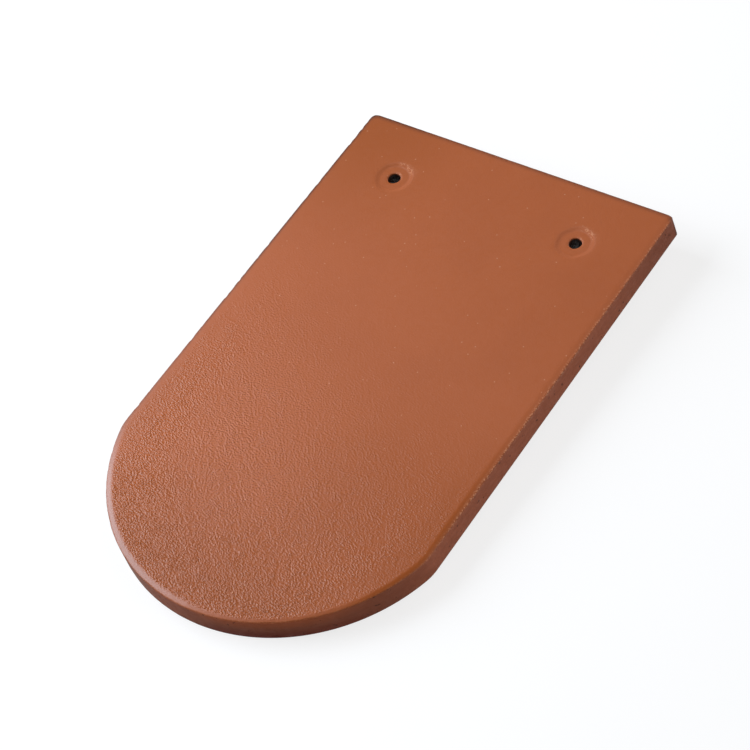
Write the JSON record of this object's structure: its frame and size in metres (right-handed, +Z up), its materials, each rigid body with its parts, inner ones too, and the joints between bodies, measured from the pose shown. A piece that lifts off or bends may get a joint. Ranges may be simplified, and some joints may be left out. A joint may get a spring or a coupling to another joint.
{
  "type": "clay roof tile",
  "caption": "Flat rectangular fired-clay roof tile with a rounded tail, rolled face edges, countersunk nail holes near the head and hanging nibs on the underside.",
  "frame": {"origin": "on the floor, under the middle of the tile's bounding box", "axes": "+X across the tile to its right as seen from the face with the head away, +Y from the tail to the head, +Z up; the tile lies face up and leans about 2 degrees on its nibs"},
  "size_m": [0.165, 0.2652, 0.0215],
  "materials": {
    "clay": "matt fired clay with a fine grain"
  },
  "bodies": {
    "root": {"tile": "clay"}
  },
  "joints": []
}
